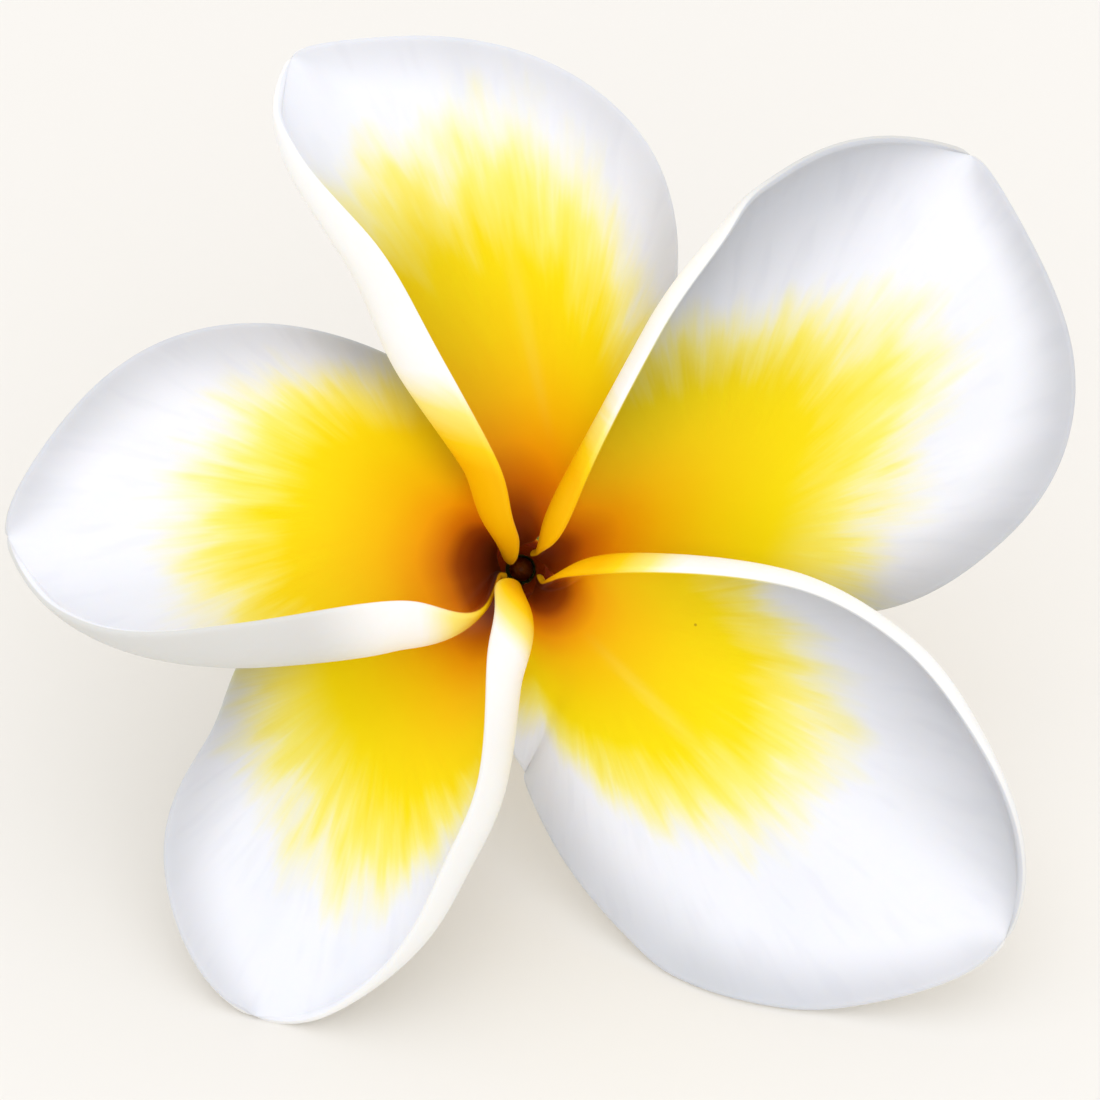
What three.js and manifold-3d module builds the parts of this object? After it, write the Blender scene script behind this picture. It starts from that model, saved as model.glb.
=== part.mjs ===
// A plumeria flower, picked with a short stalk and lying on a flat surface.
//
// Five petals grow from the rim of the corolla tube. The tube holds five stamens and stands in the calyx,
// which also carries the pistil inside the tube. All of these are drawn in the flower's own frame: X to the
// right and Y up across the face, Z out of the face towards whoever looks into the throat, and the origin
// in the throat. The whole flower then leans back by LEAN and rests on the end of its stalk and on its two
// lowest petals. Lengths are in millimetres and angles in degrees.
import * as THREE from "three";
import { mergeVertices } from "three/addons/utils/BufferGeometryUtils.js";
import Module from "manifold-3d";

const wasm = await Module();
wasm.setup();

// ---- Driving dimensions ----

const LEAN = 42; // how far the face leans back from level
const THROAT = new THREE.Vector3(-1.5, -0.4, 20.5); // from the middle of the surface that the flower covers
const GAP = 0.3; // between pieces that touch
const SOLE = 0.1; // how deep the lowest spots would sink in, which is taken off flat

// Places along the tube's axis, from the throat backwards.
const RIM_Z = -6; // of the corolla tube
const TUBE_BASE_Z = RIM_Z - 12;
const CALYX_RIM_Z = TUBE_BASE_Z + 1;
const STALK_TOP_Z = TUBE_BASE_Z - 2.6;
const STALK_END_Z = STALK_TOP_Z - 6.3;

const TUBE = { rimRadius: 2.5, waistRadius: 1.8, baseRadius: 2.1, wall: 0.7 };
const ANTHER = { count: 5, length: 2.2, radius: 0.32, z: TUBE_BASE_Z + 5.4 };
const PISTIL = { height: 3.4, baseRadius: 0.9, styleRadius: 0.3, stigmaRadius: 0.55 };
const CALYX = { wall: 0.7, lobes: 5, lobeHeight: 1.7, footRadius: 1.5 };
const STALK = { radius: 1.25, bend: 0.5 };
const PETAL_THICKNESS = { rib: 0.8, margin: 0.6 };

// Where the rows of numbers below hold along a petal, as a share of its length from the tube.
const STATIONS = [0, 0.04, 0.1, 0.25, 0.45, 0.65, 0.85, 1];

// At the first three stations every petal rises out of the tube and bends outwards alike.
const ROOT = {
  radius: [2.05, 2.7, 4.3], // from the tube's axis
  rise: [0.5, 1.8, 3.4], // above the tube's rim
};
const WRAP = [36, 32, 16, 0, 0, 0, 0, 0]; // how far a section's ends turn round the tube's axis

// Each petal lies on the next one round: its over side is banked up and its margin rolls inwards, and its
// under side passes below the neighbour. rib is the middle line from station 0.25 to the tip, under and
// over are how far the petal reaches to each side of it, bank is how steeply the over side stands up at the
// rib, roll is how far the over margin turns in, and turning is the outer share of the over side that
// turns. tip is how blunt the end is on the under and the over side.
const PETALS = [
  {
    name: "petal_1",
    azimuth: 92,
    rib: [[0.5, 8, -0.6], [-0.5, 16.5, 0.6], [-3.5, 24.7, 2], [-8.8, 31.4, 3.2], [-16.1, 36.3, 4]],
    under: [1.1, 2, 3.4, 6.1, 11.9, 13.7, 9.3, 4],
    over: [0.9, 1.1, 1.8, 4.2, 8, 8.7, 8.9, 8.4],
    bank: [28, 30, 30, 28, 22, 16, 10, 4],
    roll: [80, 100, 135, 135, 130, 138, 145, 120],
    turning: [0.7, 0.75, 0.8, 0.7, 0.6, 0.5, 0.4, 0.4],
    tip: [8, 12],
  },
  {
    name: "petal_2",
    azimuth: 20,
    rib: [[8, 4, -0.6], [15.5, 8.8, 0.4], [22.4, 14.1, 1.4], [28.2, 21, 2.4], [32, 29.4, 3]],
    under: [1.1, 2, 3.4, 6.1, 14.4, 17.2, 15.3, 6],
    over: [0.7, 0.8, 2.2, 5.4, 10.3, 12.4, 13, 12.2],
    bank: [28, 28, 28, 28, 20, 14, 9, 4],
    roll: [20, 60, 120, 120, 110, 105, 65, 25],
    turning: [0.6, 0.65, 0.65, 0.45, 0.28, 0.22, 0.22, 0.22],
    tip: [7, 14],
  },
  {
    name: "petal_3",
    azimuth: -52,
    rib: [[5.5, -5.5, -0.8], [11.5, -10, 0.1], [17.8, -14.8, 0.6], [25.3, -20.3, 1.4], [34.4, -26.1, 3.2]],
    under: [1.1, 2.4, 6.9, 10.7, 13.6, 15.3, 14.5, 9],
    over: [0.7, 0.7, 2.5, 6.8, 11.8, 13.4, 12.4, 9.2],
    bank: [28, 28, 30, 28, 20, 14, 9, 4],
    roll: [20, 50, 100, 115, 105, 100, 100, 60],
    turning: [0.6, 0.65, 0.55, 0.4, 0.26, 0.22, 0.24, 0.26],
    tip: [10, 14],
  },
  {
    name: "petal_4",
    azimuth: -121,
    rib: [[-4.2, -6, -0.8], [-8.3, -11.3, 0.2], [-12, -17, 0.9], [-15.7, -24, 1.5], [-18.9, -31.8, 1.2]],
    under: [1.1, 2, 3.4, 6.3, 12, 11.5, 12.2, 10],
    over: [0.5, 0.72, 1.7, 4.3, 8, 9, 9.1, 7],
    bank: [28, 42, 48, 32, 22, 16, 10, 4],
    roll: [40, 70, 130, 150, 130, 125, 115, 80],
    turning: [0.8, 0.8, 0.76, 0.66, 0.43, 0.4, 0.34, 0.3],
    tip: [8, 10],
  },
  {
    name: "petal_5",
    azimuth: 164,
    rib: [[-7.5, 2.6, -0.8], [-15, 4.6, 0.4], [-22.5, 5.2, 1.4], [-30, 4, 2.4], [-36.3, 2.4, 3.2]],
    under: [1.2, 2.4, 4.6, 9.5, 12.2, 12.2, 9.5, 6],
    over: [0.8, 1.1, 3.8, 8, 10.8, 11.6, 10.8, 9],
    bank: [28, 26, 20, 22, 20, 14, 9, 4],
    roll: [80, 80, 100, 140, 140, 135, 120, 80],
    turning: [0.5, 0.5, 0.62, 0.62, 0.5, 0.45, 0.4, 0.4],
    tip: [6, 10],
  },
];

const CUP = { under: 14, over: 16 }; // how far a section curves up towards each margin
const TIP_WIDTH = 0.02; // of the width, left at the last row

const ROWS = 26; // of cells along a petal
const UNDER_SHARES = [1, 0.8, 0.6, 0.4, 0.2]; // of the under side, where the mesh has its lines
const OVER_SHARES = [0, 0.18, 0.36, 0.5, 0.6, 0.7, 0.79, 0.87, 0.94, 1]; // of the over side, closer where it rolls
const SECTION_STEPS = 100; // in each half of a section, which the shares above divide

// ---- Helpers ----

const radians = THREE.MathUtils.degToRad;

// The natural cubic spline through values at knots.
function spline(knots, values) {
  const last = knots.length - 1;
  const step = knots.slice(1).map((k, i) => k - knots[i]);
  const slope = step.map((h, i) => (values[i + 1] - values[i]) / h);
  const second = new Array(last + 1).fill(0);
  const diagonal = [1];
  const right = [0];
  for (let i = 1; i < last; i++) {
    const share = i === 1 ? 0 : step[i - 1] / diagonal[i - 1];
    diagonal[i] = 2 * (step[i - 1] + step[i]) - (i === 1 ? 0 : share * step[i - 1]);
    right[i] = 6 * (slope[i] - slope[i - 1]) - share * (i === 1 ? 0 : right[i - 1]);
  }
  for (let i = last - 1; i > 0; i--) second[i] = (right[i] - step[i] * second[i + 1]) / diagonal[i];
  return (t) => {
    let i = 0;
    while (i < last - 1 && t > knots[i + 1]) i++;
    const h = step[i];
    const a = (knots[i + 1] - t) / h;
    const b = (t - knots[i]) / h;
    const bend = ((a ** 3 - a) * second[i] + (b ** 3 - b) * second[i + 1]) * h * h / 6;
    return a * values[i] + b * values[i + 1] + bend;
  };
}

const smoothstep = (x) => {
  const c = Math.min(1, Math.max(0, x));
  return c * c * (3 - 2 * c);
};

// ---- Petals ----

// The petal's profiles along its length, each a function of the share t.
function profiles(petal) {
  const along = (values) => spline(STATIONS, values);
  const [x, y] = [Math.cos(radians(petal.azimuth)), Math.sin(radians(petal.azimuth))];
  const root = ROOT.radius.map((radius, i) => [radius * x, radius * y, RIM_Z + ROOT.rise[i]]);
  const rib = [...root, ...petal.rib];
  const axes = [0, 1, 2].map((axis) => along(rib.map((p) => p[axis])));
  const tapering = (values, bluntness) => {
    const reach = along(values);
    return (t) => reach(t) * (Math.sqrt(1 - t ** bluntness) + TIP_WIDTH);
  };
  return {
    rib: (t) => new THREE.Vector3(...axes.map((f) => f(t))),
    under: tapering(petal.under, petal.tip[0]),
    over: tapering(petal.over, petal.tip[1]),
    wrap: along(WRAP),
    bank: along(petal.bank),
    roll: along(petal.roll),
    turning: along(petal.turning),
  };
}

// Half of a section from the rib to its margin, as (across, up) at the given shares of its length, scaled so
// that it reaches as far across as it should. slopeAt is its slope at a share.
function halfSection(slopeAt, shares, reach) {
  const points = [[0, 0]];
  for (let i = 0; i < SECTION_STEPS; i++) {
    const slope = radians(slopeAt((i + 0.5) / SECTION_STEPS));
    points.push([
      points[i][0] + Math.cos(slope) / SECTION_STEPS,
      points[i][1] + Math.sin(slope) / SECTION_STEPS,
    ]);
  }
  const scale = reach / Math.max(...points.map((p) => p[0]));
  return shares.map((share) => points[Math.round(share * SECTION_STEPS)].map((x) => x * scale));
}

// The points of the petal's middle surface at one share of its length, from the under to the over margin.
function section(profile, t) {
  const small = 1e-3;
  const rib = profile.rib(t);
  const along = profile.rib(Math.min(1, t + small)).sub(profile.rib(Math.max(0, t - small))).normalize();
  const across = new THREE.Vector3(-along.y, along.x, 0).normalize();
  const up = new THREE.Vector3().crossVectors(along, across);
  const [wrap, bank, roll, turning] = ["wrap", "bank", "roll", "turning"].map((key) => profile[key](t));
  const underSlope = (share) => -bank + wrap * share + CUP.under * share ** 2;
  const overSlope = (share) =>
    bank + wrap * share + CUP.over * share ** 2 + roll * smoothstep(1 - (1 - share) / turning);
  const place = (side) => ([q, n]) => rib.clone().addScaledVector(across, side * q).addScaledVector(up, n);
  return [
    ...halfSection(underSlope, UNDER_SHARES, profile.under(t)).map(place(-1)),
    ...halfSection(overSlope, OVER_SHARES, profile.over(t)).map(place(1)),
  ];
}

// A closed blade round a grid of points, thicker along the rib than at the margins.
function blade(grid, halfThickness) {
  const rows = grid.length;
  const columns = grid[0].length;
  const at = (i, j) => grid[Math.min(rows - 1, Math.max(0, i))][Math.min(columns - 1, Math.max(0, j))];
  const positions = [];
  for (const side of [1, -1]) {
    for (let i = 0; i < rows; i++) {
      for (let j = 0; j < columns; j++) {
        const along = at(i + 1, j).clone().sub(at(i - 1, j));
        const across = at(i, j + 1).clone().sub(at(i, j - 1));
        const normal = along.cross(across).normalize();
        positions.push(...at(i, j).clone().addScaledVector(normal, side * halfThickness(i, j)));
      }
    }
  }
  const index = [];
  const quad = (a, b, c, d) => index.push(a, b, c, a, c, d);
  const top = (i, j) => i * columns + j;
  const bottom = (i, j) => rows * columns + top(i, j);
  for (let i = 0; i < rows - 1; i++) {
    for (let j = 0; j < columns - 1; j++) {
      quad(top(i, j), top(i + 1, j), top(i + 1, j + 1), top(i, j + 1));
      quad(bottom(i, j), bottom(i, j + 1), bottom(i + 1, j + 1), bottom(i + 1, j));
    }
    quad(top(i, 0), bottom(i, 0), bottom(i + 1, 0), top(i + 1, 0));
    quad(top(i, columns - 1), top(i + 1, columns - 1), bottom(i + 1, columns - 1), bottom(i, columns - 1));
  }
  for (let j = 0; j < columns - 1; j++) {
    quad(top(0, j), top(0, j + 1), bottom(0, j + 1), bottom(0, j));
    quad(top(rows - 1, j), bottom(rows - 1, j), bottom(rows - 1, j + 1), top(rows - 1, j + 1));
  }
  const geometry = new THREE.BufferGeometry();
  geometry.setAttribute("position", new THREE.Float32BufferAttribute(positions, 3));
  geometry.setIndex(index);
  return geometry;
}

function petalGeometry(petal) {
  const profile = profiles(petal);
  const grid = [];
  for (let i = 0; i <= ROWS; i++) {
    const share = Math.sin((Math.PI / 2) * (i / ROWS) ** 1.25);
    grid.push(section(profile, share).map((point) => lift(point, PETAL_THICKNESS.margin / 2 - SOLE)));
  }
  const shares = [...UNDER_SHARES, ...OVER_SHARES];
  const thickness = (share) => THREE.MathUtils.lerp(PETAL_THICKNESS.rib, PETAL_THICKNESS.margin, share);
  return blade(grid, (i, j) => thickness(shares[j]) / 2);
}

// ---- Tube, stamens, pistil, calyx and stalk ----

// A solid of revolution about the tube's axis from a closed outline, or one that starts and ends on the axis.
function turned(points, segments) {
  return new THREE.LatheGeometry(points.map(([radius, z]) => new THREE.Vector2(radius, z)), segments)
    .rotateX(Math.PI / 2);
}

// A curve through places along the axis, sampled as an outline.
function outline(points, divisions) {
  return new THREE.SplineCurve(points.map(([radius, z]) => new THREE.Vector2(radius, z)))
    .getPoints(divisions)
    .map((point) => [point.x, point.y]);
}

function toManifold(geometry) {
  const bare = new THREE.BufferGeometry();
  bare.setAttribute("position", geometry.getAttribute("position"));
  bare.setIndex(geometry.index);
  const merged = mergeVertices(bare, 1e-4);
  const mesh = new wasm.Mesh({
    numProp: 3,
    vertProperties: merged.getAttribute("position").array,
    triVerts: new Uint32Array(merged.index.array),
  });
  return new wasm.Manifold(mesh);
}

function fromManifold(solid) {
  const mesh = solid.getMesh();
  const geometry = new THREE.BufferGeometry();
  geometry.setAttribute("position", new THREE.BufferAttribute(mesh.vertProperties, 3));
  geometry.setIndex(new THREE.BufferAttribute(mesh.triVerts, 1));
  return geometry;
}

// The tube flares towards the petals and swells a little over the stamens, which stand on its inner wall.
function tubeGeometry() {
  const { rimRadius, waistRadius, baseRadius, wall } = TUBE;
  const outer = [
    [baseRadius, TUBE_BASE_Z],
    [baseRadius + 0.15, ANTHER.z],
    [waistRadius, (RIM_Z + ANTHER.z) / 2],
    [rimRadius, RIM_Z],
  ];
  const side = outline(outer, 10);
  const bore = side.map(([radius, z]) => [radius - wall, z]).reverse();
  let solid = toManifold(turned([...side, ...bore, side[0]], 36));
  const anther = new THREE.SphereGeometry(1, 10, 8).scale(ANTHER.radius, ANTHER.radius, ANTHER.length / 2);
  anther.translate(baseRadius - wall, 0, ANTHER.z);
  for (let i = 0; i < ANTHER.count; i++) {
    solid = solid.add(toManifold(anther.clone().rotateZ((i / ANTHER.count) * Math.PI * 2)));
  }
  return fromManifold(solid);
}

// The ovary, the style and the thick stigma above it.
function pistilGeometry() {
  const { height, baseRadius, styleRadius, stigmaRadius } = PISTIL;
  const side = outline([
    [baseRadius, TUBE_BASE_Z],
    [baseRadius * 0.9, TUBE_BASE_Z + height * 0.3],
    [styleRadius, TUBE_BASE_Z + height * 0.55],
    [stigmaRadius, TUBE_BASE_Z + height * 0.8],
    [stigmaRadius / 3, TUBE_BASE_Z + height],
  ], 14);
  return turned([[0, TUBE_BASE_Z], ...side, [0, TUBE_BASE_Z + height]], 20);
}

// A cup round the foot of the tube, whose rim rises in blunt lobes.
function calyxGeometry() {
  const inner = TUBE.baseRadius + GAP;
  const floor = TUBE_BASE_Z - GAP;
  const foot = STALK_TOP_Z + GAP;
  const cup = turned([
    [0, foot],
    [CALYX.footRadius, foot],
    ...outline([
      [CALYX.footRadius + 0.4, foot + 0.3],
      [inner + CALYX.wall, floor + 0.6],
      [inner + CALYX.wall, CALYX_RIM_Z],
      [inner + CALYX.wall - 0.2, CALYX_RIM_Z + CALYX.lobeHeight],
    ], 8),
    [inner + 0.1, CALYX_RIM_Z + CALYX.lobeHeight],
    [inner, CALYX_RIM_Z],
    [inner, floor],
    [0, floor],
  ], 50);
  const position = cup.getAttribute("position");
  for (let i = 0; i < position.count; i++) {
    const turn = Math.atan2(position.getY(i), position.getX(i));
    const lobe = Math.abs(Math.cos((turn * CALYX.lobes) / 2)) ** 0.7;
    const aboveRim = Math.max(0, position.getZ(i) - CALYX_RIM_Z);
    position.setZ(i, position.getZ(i) - aboveRim * (1 - lobe) * 0.85);
  }
  return cup;
}

// A short stalk, bent a little and snapped off at its end.
function stalkGeometry() {
  const stalk = turned([
    [0, STALK_END_Z + 0.3],
    [STALK.radius * 0.55, STALK_END_Z + 0.1],
    [STALK.radius, STALK_END_Z],
    [STALK.radius * 0.94, (STALK_END_Z + STALK_TOP_Z) / 2],
    [STALK.radius * 1.08, STALK_TOP_Z],
    [0, STALK_TOP_Z],
  ], 24);
  const position = stalk.getAttribute("position");
  for (let i = 0; i < position.count; i++) {
    const down = (STALK_TOP_Z - position.getZ(i)) / (STALK_TOP_Z - STALK_END_Z);
    position.setY(i, position.getY(i) - STALK.bend * down ** 2);
  }
  return stalk;
}

// ---- How the flower lies ----

const UP = new THREE.Vector3(0, Math.sin(radians(LEAN)), Math.cos(radians(LEAN)));

// Lifts a point until it is clear of the surface by a height.
function lift(point, clear) {
  return point.addScaledVector(UP, Math.max(0, clear - THROAT.z - point.dot(UP)));
}

// Flattens what would lie below the surface, which leaves the small flat spots that the flower rests on.
function settle(geometry) {
  const point = new THREE.Vector3();
  const position = geometry.getAttribute("position");
  for (let i = 0; i < position.count; i++) {
    lift(point.fromBufferAttribute(position, i), 0);
    position.setXYZ(i, point.x, point.y, point.z);
  }
  return geometry;
}

// ---- Materials ----

const finish = (color, roughness) => new THREE.MeshStandardMaterial({ color, roughness, metalness: 0 });
const PETAL_FINISH = finish(0xf6f4f4, 0.5);
const TUBE_FINISH = finish(0xe9edc0, 0.5);
const STALK_FINISH = finish(0x8fae55, 0.6);
const PISTIL_FINISH = finish(0xc9dc92, 0.55);

// ---- The flower ----

const flower = new THREE.Group();
flower.rotation.x = radians(LEAN);
flower.position.copy(THROAT);

function place(name, geometry, material) {
  const mesh = new THREE.Mesh(settle(geometry), material);
  mesh.name = name;
  flower.add(mesh);
}

for (const petal of PETALS) place(petal.name, petalGeometry(petal), PETAL_FINISH);
place("corolla_tube", tubeGeometry(), TUBE_FINISH);
place("pistil", pistilGeometry(), PISTIL_FINISH);
place("calyx", calyxGeometry(), STALK_FINISH);
place("stalk", stalkGeometry(), STALK_FINISH);

const part = new THREE.Group();
part.add(flower);

export default part;
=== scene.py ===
import math

import bpy
import numpy as np
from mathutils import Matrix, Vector


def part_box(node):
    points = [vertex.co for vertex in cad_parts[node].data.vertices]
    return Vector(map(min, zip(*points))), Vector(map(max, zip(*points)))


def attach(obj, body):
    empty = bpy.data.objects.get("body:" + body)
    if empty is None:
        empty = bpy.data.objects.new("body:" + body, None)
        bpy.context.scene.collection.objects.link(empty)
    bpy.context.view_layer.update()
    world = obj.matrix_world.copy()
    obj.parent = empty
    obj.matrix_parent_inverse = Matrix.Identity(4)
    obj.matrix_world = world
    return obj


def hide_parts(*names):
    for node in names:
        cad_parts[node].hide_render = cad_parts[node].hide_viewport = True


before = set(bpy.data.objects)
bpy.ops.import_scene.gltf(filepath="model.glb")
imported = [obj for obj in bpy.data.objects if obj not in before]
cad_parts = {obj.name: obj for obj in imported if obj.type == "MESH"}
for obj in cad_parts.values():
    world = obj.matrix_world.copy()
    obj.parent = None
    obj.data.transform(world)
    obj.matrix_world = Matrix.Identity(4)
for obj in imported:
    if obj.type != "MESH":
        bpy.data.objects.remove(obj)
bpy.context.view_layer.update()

MM = 0.001

# ---- Driving dimensions, the same as the construction's ----

LEAN = math.radians(42)  # how far the face leans back from level, in radians
THROAT = np.array([-1.5, -0.4, 20.5])  # in the model's frame
SOLE = 0.1  # how deep the lowest spots sink into the floor
RIM_Z = -6  # of the corolla tube

RIB_THICKNESS, MARGIN_THICKNESS = 0.8, 0.6

# Where the rows of numbers below hold along a petal, as a share of its length from the tube.
STATIONS = [0, 0.04, 0.1, 0.25, 0.45, 0.65, 0.85, 1]

# At the first three stations every petal rises out of the tube and bends outwards alike.
ROOT_RADIUS = [2.05, 2.7, 4.3]  # from the tube's axis
ROOT_RISE = [0.5, 1.8, 3.4]  # above the tube's rim

WRAP = [36, 32, 16, 0, 0, 0, 0, 0]  # how far a section's ends turn round the tube's axis
CUP_UNDER, CUP_OVER = 14, 16  # how far a section curves up towards each margin
TIP_WIDTH = 0.02  # of the width, left at the last row

# Each petal lies on the next one round, with its over side up and its under side below the neighbour. First
# come the construction's own numbers:
# - rib: the middle line from station 0.25 to the tip
# - under, over: how far the petal reaches to each side of the rib
# - bank: how steeply the over side stands up at the rib
# - roll: how far the over margin turns in
# - turning: the outer share of the over side that turns
# - tip: how blunt the end is on the under and the over side
#
# Then the colours, with distances from the throat:
# - gold: how far the yellow reaches, in directions spread evenly between the two directions of between
# - tone: how far the yellow is ahead of what the distance gives, in the throat and further out
# - veins: the point that the veins fan out from, and the direction of the middle one
# - midrib: how pale the middle vein is
# - band: where the yellow of the underside, which the rolled margin shows, starts to fade and has faded
# - slant: how much sooner it fades towards the margins, as a share of the fading for each half width
# - painted_shade: painted shade, grey laid into the colour where less light falls: how grey the face is
#   along the under margin, in the fold of the over one, over the yellow and, as a painted shadow, beside
#   the neighbour's rolled margin, and how grey the underside is
PETALS = {
    "petal_1": {
        "azimuth": 92,
        "rib": [
            [0.5, 8, -0.6], [-0.5, 16.5, 0.6], [-3.5, 24.7, 2], [-8.8, 31.4, 3.2], [-16.1, 36.3, 4],
        ],
        "under": [1.1, 2, 3.4, 6.1, 11.9, 13.7, 9.3, 4],
        "over": [0.9, 1.1, 1.8, 4.2, 8, 8.7, 8.9, 8.4],
        "bank": [28, 30, 30, 28, 22, 16, 10, 4],
        "roll": [80, 100, 135, 135, 130, 138, 145, 120],
        "turning": [0.7, 0.75, 0.8, 0.7, 0.6, 0.5, 0.4, 0.4],
        "tip": [8, 12],
        "gold": [18.5, 23.8, 27.6, 27.8, 26.6],
        "between": [66, 113],
        "tone": [0.01, -0.04],
        "veins": [2.5, 7, 102],
        "midrib": 0.07,
        "band": [7.5, 15.5],
        "slant": 0.9,
        "painted_shade": {"margin": 0.35, "fold": 0.12, "yellow": 0.25, "beside": 0.2, "underside": 0.08},
    },
    "petal_2": {
        "azimuth": 20,
        "rib": [
            [8, 4, -0.6], [15.5, 8.8, 0.4], [22.4, 14.1, 1.4], [28.2, 21, 2.4], [32, 29.4, 3],
        ],
        "under": [1.1, 2, 3.4, 6.1, 14.4, 17.2, 15.3, 6],
        "over": [0.7, 0.8, 2.2, 5.4, 10.3, 12.4, 13, 12.2],
        "bank": [28, 28, 28, 28, 20, 14, 9, 4],
        "roll": [20, 60, 120, 120, 110, 105, 65, 25],
        "turning": [0.6, 0.65, 0.65, 0.45, 0.28, 0.22, 0.22, 0.22],
        "tip": [7, 14],
        "gold": [22.3, 26, 29.6, 23.2, 17.5],
        "between": [3, 59],
        "tone": [0.02, 0.02],
        "veins": [13, 2, 42],
        "midrib": 0,
        "band": [8, 15],
        "slant": 0.9,
        "painted_shade": {"margin": 0.6, "fold": 0.66, "yellow": 0.28, "beside": 0.1, "underside": 0},
    },
    "petal_3": {
        "azimuth": -52,
        "rib": [
            [5.5, -5.5, -0.8], [11.5, -10, 0.1], [17.8, -14.8, 0.6], [25.3, -20.3, 1.4], [34.4, -26.1, 3.2],
        ],
        "under": [1.1, 2.4, 6.9, 10.7, 13.6, 15.3, 14.5, 9],
        "over": [0.7, 0.7, 2.5, 6.8, 11.8, 13.4, 12.4, 9.2],
        "bank": [28, 28, 30, 28, 20, 14, 9, 4],
        "roll": [20, 50, 100, 115, 105, 100, 100, 60],
        "turning": [0.6, 0.65, 0.55, 0.4, 0.26, 0.22, 0.24, 0.26],
        "tip": [10, 14],
        "gold": [9.6, 17.8, 22.6, 22.2, 15.6],
        "between": [-81, -6],
        "tone": [-0.01, 0.05],
        "veins": [3.5, -3, -46],
        "midrib": 0.13,
        "band": [6, 12],
        "slant": 0.9,
        "painted_shade": {"margin": 0.5, "fold": 0.55, "yellow": 0, "beside": 0.2, "underside": 0},
    },
    "petal_4": {
        "azimuth": -121,
        "rib": [
            [-4.2, -6, -0.8], [-8.3, -11.3, 0.2], [-12, -17, 0.9], [-15.7, -24, 1.5], [-18.9, -31.8, 1.2],
        ],
        "under": [1.1, 2, 3.4, 6.3, 12, 11.5, 12.2, 10],
        "over": [0.5, 0.72, 1.7, 4.3, 8, 9, 9.1, 7],
        "bank": [28, 42, 48, 32, 22, 16, 10, 4],
        "roll": [40, 70, 130, 150, 130, 125, 115, 80],
        "turning": [0.8, 0.8, 0.76, 0.66, 0.43, 0.4, 0.34, 0.3],
        "tip": [8, 10],
        "gold": [19.5, 20.8, 22, 23, 16],
        "between": [-156, -102],
        "tone": [0, -0.02],
        "veins": [-9, -6, -112],
        "midrib": 0,
        "band": [1.1, 5],
        "slant": 1.6,
        "painted_shade": {"margin": 0.5, "fold": 0, "yellow": 0, "beside": 0.2, "underside": 0.2},
    },
    "petal_5": {
        "azimuth": 164,
        "rib": [
            [-7.5, 2.6, -0.8], [-15, 4.6, 0.4], [-22.5, 5.2, 1.4], [-30, 4, 2.4], [-36.3, 2.4, 3.2],
        ],
        "under": [1.2, 2.4, 4.6, 9.5, 12.2, 12.2, 9.5, 6],
        "over": [0.8, 1.1, 3.8, 8, 10.8, 11.6, 10.8, 9],
        "bank": [28, 26, 20, 22, 20, 14, 9, 4],
        "roll": [80, 80, 100, 140, 140, 135, 120, 80],
        "turning": [0.5, 0.5, 0.62, 0.62, 0.5, 0.45, 0.4, 0.4],
        "tip": [6, 10],
        "gold": [15.7, 20.3, 21.4, 21.6, 19.5],
        "between": [129, 192],
        "tone": [-0.05, -0.035],
        "veins": [-6, 3.8, 170],
        "midrib": 0,
        "band": [3.5, 8],
        "slant": 0.9,
        "painted_shade": {"margin": 0.5, "fold": 0.1, "yellow": 0.05, "beside": 0.65, "underside": 0.55},
    },
}

# ---- How the petals differ from the construction's ----

ROWS = 120  # of cells along a petal
ROW_CROWDING = 1.25  # above 1 for rows that draw together at the tube as well as at the tip
UNDER_COLUMNS, OVER_COLUMNS = 34, 54  # of points across each side, with the rib in both
RIM_COLUMNS = 5  # of these lie in the outer RIM_SHARE of a side, closer together towards the margin
RIM_SHARE = 0.03
RIM_CROWDING = 1.5
SECTION_STEPS = 240  # in each half of a section, between which the columns are placed
RIB_STEP = 0.001  # a share of the rib's length, over which its direction is taken

BEND = 5  # how far to each side of its lowest point a section bends to rest on the floor
SOFTNESS = 0.1  # how gradually the petal comes down onto the floor
ROLLED_WIDTH = 0.75  # the over margin unrolls where the tip has narrowed to less than this share
TIP_THINNING = 5  # how many times as far from the tip as from a margin the petal starts to thin
EDGE_LEFT = 0.02  # the share of its rounding at which an edge is cut off, or it would have no thickness
MOST_DRIFT = 1  # between a petal's box here and in the construction

# ---- Where the colours of the petals change ----
#
# A pair is where a change starts and ends. across runs evenly over the columns, from -1 at the under margin
# to 1 at the over one.

TONE_CHANGE = 3, 8  # from the throat
USUAL_GOLD = 26  # how far the yellow of most petals reaches
OWN_GOLD = 0.7  # how far a petal's shades of yellow go by its own reach and not by the usual one
YELLOW_TO_PALE = 0.76, 1.12  # times as far as the yellow reaches
PALE_TO_WHITE = 0.94, 1.28  # times as far as the yellow reaches
BAND_MIDDLE = 0.2  # where across the yellow of the underside reaches furthest
BAND_LEVEL = 0.6  # how far across from there it reaches what band says
UNDERSIDE_THROAT = 0.2, 1.4  # from the throat's axis

FAN_WIDTH = 18  # how far the streaks are spread, for each radian of the fan
FAN_APART = 40  # from one petal's streaks to the next one's in the noise
STREAK_START = 4, 13  # from the throat and from where the veins fan out
FEATHERING = 0.35, 0.85  # times as far as the yellow reaches, where the streaks come to bear on its shade
LEAST_FEATHERING = 0.25  # how much they bear on it nearer to the throat
MIDRIB_HALF = 0.4  # half its width where the veins fan out
MIDRIB_WIDENING = 0.04  # what that gains in a millimetre
MIDRIB_START = 1, 9  # from where the veins fan out
MIDRIB_END = 0.8, 1.15  # times as far as the yellow reaches

# Painted shade and shadow: grey multiplied into the petals' colour where less light falls on them.
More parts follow.
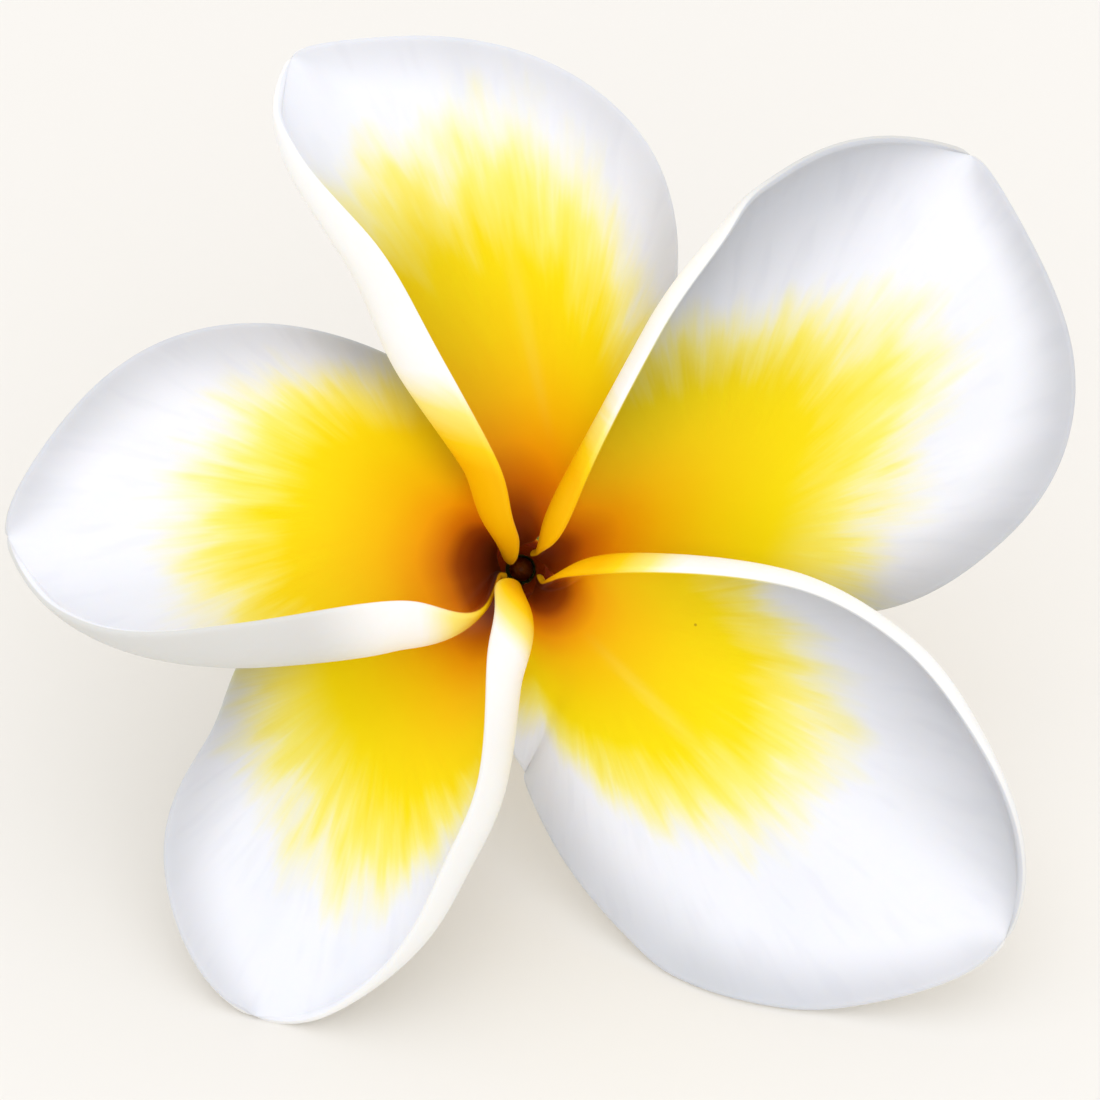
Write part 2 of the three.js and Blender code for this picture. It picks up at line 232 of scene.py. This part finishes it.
MARGIN_SHADE = 6  # how far in from the under margin its painted shade reaches
MARGIN_SIDE = 0, 0.5  # across, towards the under margin
MARGIN_LOSS = 0.4  # how much less that painted shade is at the tip
FOLD_SHADE = 0.7  # how far across the painted shade in the fold reaches at the foot
FOLD_GAIN = 0.5  # how much further at the tip
SHADE_START = 0.15, 0.4  # shares of the rows, for both of these painted shades
YELLOW_SIDE = -0.6, 0.2  # across, where the painted shade over the yellow comes in
YELLOW_END = 0.8, 1.2  # times as far as the yellow reaches, where that painted shade ends
BESIDE = -13, 9  # degrees past the first direction of between, over which the painted shadow beside the neighbour fades
THROAT_CLEAR = 4, 9  # from the throat, for the painted shade over the yellow and the painted shadow beside the neighbour
UNDERSIDE_START = 8  # how far beyond the band the underside's painted shade is all there
OPEN_ROLL = 40, 120  # how far the over margin turns in, where the edge goes from the face's painted shade to its own
OPEN_EDGE = 0.5, 2  # in from the edge

# ---- The photograph's view ----

CAMERA_DISTANCE = 400
FRAME_WIDTH = 78.6  # what the picture takes in, across the throat
FRAME_CENTRE = [2.14, 1.43]
SENSOR_WIDTH = 36


# ---- Frames and curves ----


def to_model(points):
    """Points of the flower's own frame as metres in the model's."""
    x, y, z = np.moveaxis(np.asarray(points, dtype=float), -1, 0)
    turned = [x, y * math.cos(LEAN) - z * math.sin(LEAN), y * math.sin(LEAN) + z * math.cos(LEAN)]
    return (np.stack(turned, axis=-1) + THROAT) * MM


def spline(knots, values):
    """The natural cubic spline through values at knots."""
    knots, values = np.asarray(knots, dtype=float), np.asarray(values, dtype=float)
    step = np.diff(knots)
    slope = np.diff(values) / step
    size = len(knots)
    system, right = np.eye(size), np.zeros(size)
    for i in range(1, size - 1):
        system[i, i - 1 : i + 2] = [step[i - 1], 2 * (step[i - 1] + step[i]), step[i]]
        right[i] = 6 * (slope[i] - slope[i - 1])
    second = np.linalg.solve(system, right)

    def at(t):
        t = np.asarray(t, dtype=float)
        i = np.clip(np.searchsorted(knots, t, side="right") - 1, 0, size - 2)
        h = step[i]
        a, b = (knots[i + 1] - t) / h, (t - knots[i]) / h
        bend = ((a**3 - a) * second[i] + (b**3 - b) * second[i + 1]) * h * h / 6
        return a * values[i] + b * values[i + 1] + bend

    return at


def smoothstep(x):
    x = np.clip(x, 0, 1)
    return x * x * (3 - 2 * x)


def rise(values, start, end):
    """0 up to start, 1 from end on, and a smooth change between."""
    return smoothstep((values - start) / (end - start))


def fall(values, start, end):
    return 1 - rise(values, start, end)


def unit(vectors):
    return vectors / np.linalg.norm(vectors, axis=-1, keepdims=True)


def lengths_along(points, axis):
    """How far each point is from the first along its row or column of points."""
    steps = np.linalg.norm(np.diff(points, axis=axis), axis=-1)
    return np.insert(np.cumsum(steps, axis=axis), 0, 0, axis=axis)


# ---- The petals' shape ----


def rib_line(petal):
    azimuth = math.radians(petal["azimuth"])
    x, y = math.cos(azimuth), math.sin(azimuth)
    root = [[radius * x, radius * y, RIM_Z + height] for radius, height in zip(ROOT_RADIUS, ROOT_RISE)]
    axes = [spline(STATIONS, values) for values in zip(*(root + petal["rib"]))]
    return lambda t: np.stack([axis(t) for axis in axes], axis=-1)


def row_positions(count):
    """Where the rows lie along the rib, as shares of its length, mostly closer together towards the tip."""
    return np.sin(math.pi / 2 * np.linspace(0, 1, count) ** ROW_CROWDING)


def column_shares(columns):
    """Shares of a section from its rib to its margin, closer together where the margin is rounded."""
    body = np.linspace(0, 1 - RIM_SHARE, columns - RIM_COLUMNS)
    rim = 1 - RIM_SHARE * (1 - np.linspace(0, 1, RIM_COLUMNS + 1)[1:]) ** RIM_CROWDING
    return np.concatenate([body, rim])


def half_section(slope_at, shares, reach):
    """(across, up) at shares of half a section's length, scaled to reach as far across as it should."""
    middles = (np.arange(SECTION_STEPS) + 0.5) / SECTION_STEPS
    slope = np.radians(slope_at(middles))
    across = np.concatenate([[0], np.cumsum(np.cos(slope))]) / SECTION_STEPS
    up = np.concatenate([[0], np.cumsum(np.sin(slope))]) / SECTION_STEPS
    scale = reach / across.max()
    steps = np.linspace(0, 1, SECTION_STEPS + 1)
    return np.stack([np.interp(shares, steps, across), np.interp(shares, steps, up)], axis=-1) * scale


def rest(points, clear):
    """Bends a section up, most at its lowest point, until that is clear of the floor by a height."""
    up = np.array([0, math.sin(LEAN), math.cos(LEAN)])  # the model's, in the flower's frame
    below = clear - THROAT[2] - points @ up
    lowest = below.argmax()
    along = lengths_along(points, 0)
    share = fall(np.abs(along - along[lowest]), 0, BEND)
    raised = np.logaddexp(0, below[lowest] / SOFTNESS) * SOFTNESS
    return points + raised * share[:, None] * up


def petal_row(t, rib, profile, tip):
    """The points at a share of the petal's length, across it from its under margin to its over one."""
    along = unit(rib(min(1, t + RIB_STEP)) - rib(max(0, t - RIB_STEP)))
    across = unit(np.array([-along[1], along[0], 0]))
    up = np.cross(along, across)
    under_taper, over_taper = [math.sqrt(1 - t**bluntness) + TIP_WIDTH for bluntness in tip]
    bank, wrap, turning = profile["bank"](t), profile["wrap"](t), profile["turning"](t)
    roll = profile["roll"](t) * smoothstep(over_taper / ROLLED_WIDTH)

    def under_slope(share):
        return -bank + wrap * share + CUP_UNDER * share**2

    def over_slope(share):
        return bank + wrap * share + CUP_OVER * share**2 + roll * smoothstep(1 - (1 - share) / turning)

    under = half_section(under_slope, column_shares(UNDER_COLUMNS)[::-1], profile["under"](t) * under_taper)
    over = half_section(over_slope, column_shares(OVER_COLUMNS)[1:], profile["over"](t) * over_taper)
    section = np.concatenate([under * [-1, 1], over])
    points = rib(t) + section[:, :1] * across + section[:, 1:] * up
    return rest(points, MARGIN_THICKNESS / 2 - SOLE)


def petal_surface(petal):
    """The petal's middle surface, as a grid of points with its rows from the tube to the tip."""
    rib = rib_line(petal)
    profile = {key: spline(STATIONS, petal[key]) for key in ("under", "over", "bank", "roll", "turning")}
    profile["wrap"] = spline(STATIONS, WRAP)
    return np.array([petal_row(t, rib, profile, petal["tip"]) for t in row_positions(ROWS + 1)])


def surface_normals(grid):
    padded = np.pad(grid, ((1, 1), (1, 1), (0, 0)), mode="edge")
    along = padded[2:, 1:-1] - padded[:-2, 1:-1]
    across = padded[1:-1, 2:] - padded[1:-1, :-2]
    return unit(np.cross(along, across))


def edge_distance(grid):
    """How far each point is from the nearest margin, or from the tip, which counts for less."""
    from_under = lengths_along(grid, 1)
    from_foot = lengths_along(grid, 0)
    from_tip = (from_foot[-1:] - from_foot) / TIP_THINNING
    return np.minimum(np.minimum(from_under, from_under[:, -1:] - from_under), from_tip)


def half_thickness(grid):
    """Half the petal's thickness at each point: less towards the margins, and rounded off at the edge."""
    shares = np.abs(np.linspace(-1, 1, grid.shape[1]))
    thickness = RIB_THICKNESS + (MARGIN_THICKNESS - RIB_THICKNESS) * shares[None, :]
    rounding = np.clip(edge_distance(grid) / (thickness / 2), EDGE_LEFT, 1)
    return thickness / 2 * np.sqrt(1 - (1 - rounding) ** 2)


def blade(grid, half):
    """Vertices and faces of a closed blade, half a thickness to each side of a grid of points."""
    rows, columns = grid.shape[:2]
    offset = surface_normals(grid) * half[..., None]
    vertices = np.concatenate([(grid + offset).reshape(-1, 3), (grid - offset).reshape(-1, 3)])
    top = np.arange(rows * columns).reshape(rows, columns)
    bottom = top + rows * columns
    cells = [
        [top[:-1, :-1], top[1:, :-1], top[1:, 1:], top[:-1, 1:]],
        [bottom[:-1, :-1], bottom[:-1, 1:], bottom[1:, 1:], bottom[1:, :-1]],
        [top[:-1, 0], bottom[:-1, 0], bottom[1:, 0], top[1:, 0]],
        [top[:-1, -1], top[1:, -1], bottom[1:, -1], bottom[:-1, -1]],
        [top[0, :-1], top[0, 1:], bottom[0, 1:], bottom[0, :-1]],
        [top[-1, :-1], bottom[-1, :-1], bottom[-1, 1:], top[-1, 1:]],
    ]
    faces = np.concatenate([np.stack([corner.ravel() for corner in cell], axis=-1) for cell in cells])
    return vertices, faces


# ---- Blender objects ----


def make_piece(name, vertices, faces, material, replaced):
    mesh = bpy.data.meshes.new(name)
    mesh.from_pydata(to_model(vertices).tolist(), [], faces.tolist())
    mesh.polygons.foreach_set("use_smooth", [True] * len(mesh.polygons))
    mesh.materials.append(material)
    mesh.update()
    piece = bpy.data.objects.new(name, mesh)
    bpy.context.scene.collection.objects.link(piece)
    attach(piece, "root")
    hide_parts(replaced)
    return piece


def give_attribute(piece, name, kind, values):
    field = "vector" if kind == "FLOAT_VECTOR" else "value"
    attribute = piece.data.attributes.new(name, kind, "POINT")
    attribute.data.foreach_set(field, np.asarray(values, dtype=np.float32).ravel())


def check_fit(piece, node):
    """Stops the script where a piece has drifted from the solid that it stands for."""
    low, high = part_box(node)
    points = np.array([vertex.co for vertex in piece.data.vertices])
    drift = max(np.abs(points.min(axis=0) - low).max(), np.abs(points.max(axis=0) - high).max()) / MM
    if drift > MOST_DRIFT:
        raise ValueError(f"{node} drifts {drift:.2f} mm from the construction")


# ---- Materials ----


def rgb(red, green, blue):
    """A colour given as 8-bit display values, in the linear light that the shaders use."""
    display = [value / 255 for value in (red, green, blue)]
    return (*(v / 12.92 if v <= 0.04045 else ((v + 0.055) / 1.055) ** 2.4 for v in display), 1)


SKIN_ROUGHNESS = 0.5
SKIN_SPECULAR = 0.1  # of the petals and the tube
DRIFT_SCALE = 400  # of the slow change of colour over a skin, in cells a metre, as the next two
PORE_SCALE = 3200
SPECK_SCALE = 200
DRIFT = 0.35, 0.65  # of the noise, where one colour goes over into the other
PORE_BUMP = 0.3, 0.1 * MM  # strength and depth
SPECK_CORE, SPECK_RADIUS = 0.012, 0.03  # in cells: the darkest part of a speck, and all of it
SPECK_DARKNESS = 0.5
SPECK_RARITY = 0.56  # how bright a cell's random colour has to be for a speck

WHITE, SOFT_WHITE, VEIN_WHITE = rgb(239, 240, 246), rgb(232, 234, 239), rgb(224, 226, 235)
PALE_YELLOW, MIDRIB_YELLOW = rgb(249, 238, 136), rgb(252, 240, 150)
UNDERSIDE_ORANGE = rgb(206, 126, 4)  # in the throat
# The grey that painted shade and painted shadow multiply into the petals' colour.
PAINTED_SHADE_GREY = rgb(166, 171, 173)
SPECK_BROWN = rgb(120, 70, 20)
TUBE_SKIN = rgb(236, 238, 200), rgb(214, 222, 160)
TUBE_DEPTHS, TUBE_STAIN = rgb(255, 160, 60), rgb(110, 38, 4)

# Places along the tube's axis, and radii between its inner and its outer face.
WAIST_Z = -9
WAIST_WALL, RIM_WALL = 1.65, 2.3  # from WAIST_Z backwards, and at the rim
STAIN_INSIDE = -13, -10  # where the depths go over into the stain
STAIN_OUTSIDE = RIM_Z - 1, RIM_Z - 0.1  # where the outside does, at the rim

# The face from the throat outwards: brown, through orange, to yellow.
FACE_STOPS = [
    (0.03, rgb(56, 17, 1)),
    (0.07, rgb(88, 28, 1)),
    (0.12, rgb(120, 46, 0)),
    (0.165, rgb(156, 74, 0)),
    (0.21, rgb(210, 124, 0)),
    (0.3, rgb(242, 170, 0)),
    (0.42, rgb(246, 195, 0)),
    (0.58, rgb(247, 211, 0)),
    (0.76, rgb(248, 221, 2)),
    (1.0, rgb(249, 226, 28)),
]

# The underside from the start of its yellow to the end.
UNDERSIDE_STOPS = [
    (0.0, rgb(252, 188, 2)),
    (0.25, rgb(255, 208, 20)),
    (0.6, rgb(255, 233, 125)),
    (0.85, rgb(253, 246, 218)),
    (1.0, rgb(252, 250, 246)),
]


def metres(*sizes):
    return [size * MM for size in sizes]


class Nodes:
    """A material's node tree, with short calls for the nodes that these finishes use."""

    def __init__(self, name, roughness):
        self.material = bpy.data.materials.new(name)
        self.material.use_nodes = True
        self.tree = self.material.node_tree
        self.shader = self.tree.nodes["Principled BSDF"]
        self.shader.inputs["Roughness"].default_value = roughness

    def node(self, kind, **settings):
        made = self.tree.nodes.new(kind)
        for key, value in settings.items():
            setattr(made, key, value)
        return made

    def feed(self, socket, value):
        if isinstance(value, bpy.types.NodeSocket):
            self.tree.links.new(value, socket)
        else:
            socket.default_value = value

    def attribute(self, name, output="Fac"):
        return self.node("ShaderNodeAttribute", attribute_name=name).outputs[output]

    def place(self):
        return self.node("ShaderNodeTexCoord").outputs["Object"]

    def worked_out(self, kind, operation, values, output):
        made = self.node(kind, operation=operation)
        for socket, value in zip(made.inputs, values):
            self.feed(socket, value)
        return made.outputs[output]

    def math(self, operation, *values):
        return self.worked_out("ShaderNodeMath", operation, values, "Value")

    def vector(self, operation, *values, output="Vector"):
        return self.worked_out("ShaderNodeVectorMath", operation, values, output)

    def noise(self, vector, scale, detail):
        made = self.node("ShaderNodeTexNoise")
        self.feed(made.inputs["Vector"], vector)
        made.inputs["Scale"].default_value = scale
        made.inputs["Detail"].default_value = detail
        return made.outputs[0]

    def ramp(self, value, stops):
        made = self.node("ShaderNodeValToRGB")
        elements = made.color_ramp.elements
        while len(elements) < len(stops):
            elements.new(1)
        for element, (position, colour) in zip(elements, stops):
            element.position = position
            element.color = colour
        self.feed(made.inputs[0], value)
        return made.outputs[0]

    def map_range(self, value, low, high, to_low=0.0, to_high=1.0, smooth=True):
        made = self.node("ShaderNodeMapRange", interpolation_type="SMOOTHSTEP" if smooth else "LINEAR")
        for name, number in zip(("From Min", "From Max", "To Min", "To Max"), (low, high, to_low, to_high)):
            self.feed(made.inputs[name], number)
        self.feed(made.inputs["Value"], value)
        return made.outputs["Result"]

    def mix(self, factor, first, second, blend="MIX"):
        made = self.node("ShaderNodeMix", data_type="RGBA", blend_type=blend)
        self.feed(made.inputs["Factor"], factor)
        self.feed(made.inputs["A"], first)
        self.feed(made.inputs["B"], second)
        return made.outputs["Result"]

    def colour(self, value):
        self.feed(self.shader.inputs["Base Color"], value)

    def bump(self, height, strength, distance):
        made = self.node("ShaderNodeBump")
        made.inputs["Strength"].default_value = strength
        made.inputs["Distance"].default_value = distance
        self.feed(made.inputs["Height"], height)
        self.feed(self.shader.inputs["Normal"], made.outputs[0])

    def waxy(self, subsurface, depth):
        """Light scatters a little way under the skin of petals and stalks."""
        self.shader.inputs["Subsurface Weight"].default_value = subsurface
        self.shader.inputs["Subsurface Radius"].default_value = (1.0, 0.8, 0.6)
        self.shader.inputs["Subsurface Scale"].default_value = depth


def vein_noise(n, fade, grain, detail):
    """Noise about nought in streaks along the veins, with grain its fineness across and along them."""
    stretched = n.vector("MULTIPLY", n.attribute("fan", "Vector"), (*grain, 1.0))
    return n.math("MULTIPLY", fade, n.math("SUBTRACT", n.noise(stretched, 1.0, detail), 0.5))


def face_colour(n, broad, streaks, hairs):
    """Brown in the throat, through orange to yellow, then feathered out into white."""
    gold = n.attribute("gold")
    ragged = n.math("MULTIPLY_ADD", broad, 0.28, n.math("MULTIPLY", streaks, 0.16))
    ragged = n.math("MULTIPLY_ADD", hairs, 0.07, ragged)
    ragged = n.math("MULTIPLY", ragged, n.map_range(gold, *FEATHERING, LEAST_FEATHERING))
    edge = n.math("ADD", gold, ragged)
    warm = n.ramp(n.math("MULTIPLY_ADD", ragged, 0.6, n.attribute("depth")), FACE_STOPS)
    soft = n.noise(n.vector("MULTIPLY", n.attribute("fan", "Vector"), (0.3, 0.05, 1.0)), 1.0, 1.0)
    white = n.mix(n.map_range(soft, 0.42, 0.66, 0.0, 0.5), WHITE, SOFT_WHITE)
    white = n.mix(n.map_range(streaks, 0.0, 0.2, 0.0, 0.22), white, VEIN_WHITE)
    pale = n.mix(n.map_range(edge, *PALE_TO_WHITE), PALE_YELLOW, white)
    face = n.mix(n.map_range(edge, *YELLOW_TO_PALE), warm, pale)
    return n.mix(n.attribute("midrib"), face, MIDRIB_YELLOW)


def underside_colour(n, streaks):
    """Yellow only near the throat, as the rolled margins show, and darker in the throat itself."""
    under = n.ramp(n.math("MULTIPLY_ADD", streaks, 0.2, n.attribute("band")), UNDERSIDE_STOPS)
    return n.mix(n.map_range(n.attribute("distance"), *UNDERSIDE_THROAT), UNDERSIDE_ORANGE, under)


def specked(n, colour):
    """A colour with sparse brown specks, where the surface passes through the middle of a bright cell."""
    cells = n.node("ShaderNodeTexVoronoi")
    n.feed(cells.inputs["Vector"], n.place())
    cells.inputs["Scale"].default_value = SPECK_SCALE
    dot = n.map_range(cells.outputs["Distance"], SPECK_CORE, SPECK_RADIUS, SPECK_DARKNESS, 0.0)
    dot = n.math("MULTIPLY", dot, n.math("GREATER_THAN", cells.outputs["Color"], SPECK_RARITY))
    return n.mix(dot, colour, SPECK_BROWN)


def petal_material():
    n = Nodes("petal_skin", SKIN_ROUGHNESS)

    # The streaks run with the veins, and fade where the veins draw together.
    fade = n.map_range(n.math("MINIMUM", n.attribute("spread"), n.attribute("distance")), *STREAK_START)
    broad = vein_noise(n, fade, grain=(0.45, 0.15), detail=1.0)
    streaks = vein_noise(n, fade, grain=(1.2, 0.2), detail=1.5)
    hairs = vein_noise(n, fade, grain=(3.2, 0.3), detail=1.0)

    colour = n.mix(n.attribute("back"), face_colour(n, broad, streaks, hairs), underside_colour(n, streaks))
    # Painted shade and shadow: the colour is multiplied towards grey where less light falls on the petal.
    n.colour(specked(n, n.mix(n.attribute("painted_shade"), colour, PAINTED_SHADE_GREY, "MULTIPLY")))
    n.shader.inputs["Specular IOR Level"].default_value = SKIN_SPECULAR
    n.bump(n.math("MULTIPLY_ADD", streaks, 0.5, broad), strength=0.4, distance=0.2 * MM)
    n.waxy(subsurface=0.35, depth=1.8 * MM)
    return n.material


def plain_material(name, colours):
    """A living skin whose colour drifts between two, with fine pores."""
    n = Nodes(name, SKIN_ROUGHNESS)
    drift = n.noise(n.place(), DRIFT_SCALE, detail=3.0)
    n.colour(n.mix(n.map_range(drift, *DRIFT), *colours))
    n.bump(n.noise(n.place(), PORE_SCALE, detail=2.0), *PORE_BUMP)
    n.waxy(subsurface=0.2, depth=1 * MM)
    return n.material


def tube_material():
    """A pale green tube, dark brown at its rim and where one looks into it, and orange deep inside."""
    n = Nodes("corolla_tube_skin", SKIN_ROUGHNESS)
    drift = n.noise(n.place(), DRIFT_SCALE, detail=3.0)
    outside = n.mix(n.map_range(drift, *DRIFT), *TUBE_SKIN)

    # A point's place along the tube's axis, its distance from it, and where the wall is at that place.
    axis = (0, -math.sin(LEAN), math.cos(LEAN))
    offset = n.vector("SUBTRACT", n.place(), tuple(THROAT * MM))
    along = n.vector("DOT_PRODUCT", offset, axis, output="Value")
    radius = n.vector("LENGTH", n.vector("CROSS_PRODUCT", offset, axis), output="Value")
    wall = n.map_range(along, *metres(WAIST_Z, RIM_Z, WAIST_WALL, RIM_WALL), smooth=False)

    rim = n.map_range(along, *metres(*STAIN_OUTSIDE))
    stained = n.math("MAXIMUM", n.math("LESS_THAN", radius, wall), rim)
    stain = n.mix(n.map_range(along, *metres(*STAIN_INSIDE)), TUBE_DEPTHS, TUBE_STAIN)
    n.colour(n.mix(stained, outside, stain))
    n.bump(n.noise(n.place(), PORE_SCALE, detail=2.0), *PORE_BUMP)
    n.shader.inputs["Specular IOR Level"].default_value = SKIN_SPECULAR
    n.waxy(subsurface=0.8, depth=4 * MM)
    return n.material


# ---- The petals ----


def gold_reach(petal, heading):
    """How far the yellow reaches from the throat in each heading."""
    low, high = petal["between"]
    directions = np.linspace(low, high, len(petal["gold"]))
    return spline(directions, petal["gold"])(np.clip(heading, low, high))


def vein_fan(petal, x, y):
    """How far each point is from where the veins fan out, and how far round from the middle vein."""
    start_x, start_y, axis = petal["veins"]
    spread = np.hypot(x - start_x, y - start_y)
    turn = np.arctan2(y - start_y, x - start_x) - math.radians(axis)
    return spread, (turn + math.pi) % (2 * math.pi) - math.pi


def by_row(values):
    """What numbers that hold at the stations give at each of a petal's rows, as a column."""
    return spline(STATIONS, values)(row_positions(ROWS + 1))[:, None]


def painted_face_shade(petal, grid, across, distance, heading, gold):
    """Painted shade: how grey each point of the face is made where less light falls on it."""
    painted_shade = petal["painted_shade"]
    along = np.linspace(0, 1, len(grid))[:, None]
    margin = painted_shade["margin"] * fall(lengths_along(grid, 1), 0, MARGIN_SHADE) * rise(-across, *MARGIN_SIDE)
    from_fold = np.abs(across - (1 - by_row(petal["turning"])))
    fold = painted_shade["fold"] * fall(from_fold, 0, FOLD_SHADE + FOLD_GAIN * along**2)
    sides = np.clip(margin * (1 - MARGIN_LOSS * along**4) + fold, 0, 1) * rise(along, *SHADE_START)
    yellow = painted_shade["yellow"] * rise(across, *YELLOW_SIDE) * fall(gold, *YELLOW_END)
    beside = painted_shade["beside"] * fall(heading - petal["between"][0], *BESIDE)
    return sides + (yellow + beside) * rise(distance, *THROAT_CLEAR)


def painted_underside_shade(petal, grid, distance, face):
    """Painted shade on the underside, and the face's along the edge where that isn't rolled."""
    own = petal["painted_shade"]["underside"] * rise(distance, petal["band"][1], petal["band"][1] + UNDERSIDE_START)
    opened = fall(by_row(petal["roll"]), *OPEN_ROLL) * fall(edge_distance(grid), *OPEN_EDGE)
    return np.maximum(own, face * opened)


def petal_attributes(number, petal, grid):
    """What the material reads: each attribute's kind, and its values on the face and on the underside."""
    x, y = grid[..., 0], grid[..., 1]
    across = np.linspace(-1, 1, grid.shape[1])[None, :]
    distance = np.hypot(x, y)
    heading = np.degrees(np.arctan2(y, x))
    heading = heading + 360 * (heading < petal["between"][0] - 90)  # on past 180 where the petal goes on
    reach = gold_reach(petal, heading)
    gold = distance / reach
    tone = np.interp(rise(distance, *TONE_CHANGE), [0, 1], petal["tone"])
    depth = distance * ((1 - OWN_GOLD) / USUAL_GOLD + OWN_GOLD / reach) + tone
    spread, turn = vein_fan(petal, x, y)
    fan = np.stack([turn * FAN_WIDTH, spread, np.full_like(turn, FAN_APART * number)], axis=-1)
    midrib = fall(np.abs(turn) * spread, 0, MIDRIB_HALF + MIDRIB_WIDENING * spread)
    midrib = petal["midrib"] * midrib * rise(spread, *MIDRIB_START) * fall(gold, *MIDRIB_END)
    start, end = petal["band"]
    band = (distance - start) / (end - start)
    band = band + petal["slant"] * (np.abs(across - BAND_MIDDLE) - BAND_LEVEL)
    # The painted shade, grey for less light, on the face and then on the underside.
    face = painted_face_shade(petal, grid, across, distance, heading, gold)
    return {
        "fan": ("FLOAT_VECTOR", fan, fan),
        "distance": ("FLOAT", distance, distance),
        "midrib": ("FLOAT", midrib, midrib),
        "depth": ("FLOAT", depth, depth),
        "spread": ("FLOAT", spread, spread),
        "gold": ("FLOAT", gold, gold),
        "band": ("FLOAT", band, band),
        "back": ("FLOAT", np.zeros_like(gold), np.ones_like(gold)),
        "painted_shade": ("FLOAT", face, painted_underside_shade(petal, grid, distance, face)),
    }


def add_petal(number, name, petal, material):
    grid = petal_surface(petal)
    vertices, faces = blade(grid, half_thickness(grid))
    piece = make_piece(f"{name}_skin", vertices, faces, material, name)
    for key, (kind, face, underside) in petal_attributes(number, petal, grid).items():
        give_attribute(piece, key, kind, np.concatenate([face, underside]))
    check_fit(piece, name)


# ---- Stage, in metres ----


def add_floor():
    paint = Nodes("floor_paint", roughness=0.8)
    paint.colour(rgb(237, 234, 228))
    bpy.ops.mesh.primitive_plane_add(size=6)
    floor = bpy.context.object
    floor.name = "floor"
    floor.data.materials.append(paint.material)


def add_light(name, place, size, power):
    light = bpy.data.lights.new(name, "AREA")
    light.size = size
    light.energy = power
    lamp = bpy.data.objects.new(name, light)
    lamp.location = place
    target = Vector((0, 0, 0.02))
    lamp.rotation_euler = (target - Vector(place)).to_track_quat("-Z", "Y").to_euler()
    bpy.context.scene.collection.objects.link(lamp)


def add_world():
    world = bpy.data.worlds.new("studio")
    world.use_nodes = True
    background = world.node_tree.nodes["Background"]
    background.inputs["Color"].default_value = rgb(250, 250, 252)
    background.inputs["Strength"].default_value = 0.95
    bpy.context.scene.world = world


def add_camera():
    """A camera that looks straight into the face."""
    camera = bpy.data.cameras.new("camera")
    camera.sensor_width = SENSOR_WIDTH
    camera.lens = SENSOR_WIDTH * CAMERA_DISTANCE / FRAME_WIDTH
    camera.clip_end = 20
    seen = bpy.data.objects.new("camera", camera)
    seen.location = to_model([*FRAME_CENTRE, CAMERA_DISTANCE])
    seen.rotation_euler = (LEAN, 0, 0)
    bpy.context.scene.collection.objects.link(seen)
    bpy.context.scene.camera = seen


add_camera()
add_world()
add_floor()
add_light("overhead", place=(-0.05, 0.3, 0.9), size=1.2, power=2.3)
add_light("front", place=(0.1, -0.7, 0.5), size=1.2, power=1.8)
bpy.context.scene.view_settings.view_transform = "Standard"

PETAL_SKIN = petal_material()
for number, (name, petal) in enumerate(PETALS.items()):
    add_petal(number, name, petal, PETAL_SKIN)

SKINS = {
    "corolla_tube": tube_material(),
    "pistil": plain_material("pistil_skin", (rgb(255, 176, 84), rgb(240, 146, 60))),
    "calyx": plain_material("calyx_skin", (rgb(120, 150, 60), rgb(95, 130, 45))),
    "stalk": plain_material("stalk_skin", (rgb(130, 155, 70), rgb(100, 132, 50))),
}
for node, skin in SKINS.items():
    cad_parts[node].data.materials.clear()
    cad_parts[node].data.materials.append(skin)
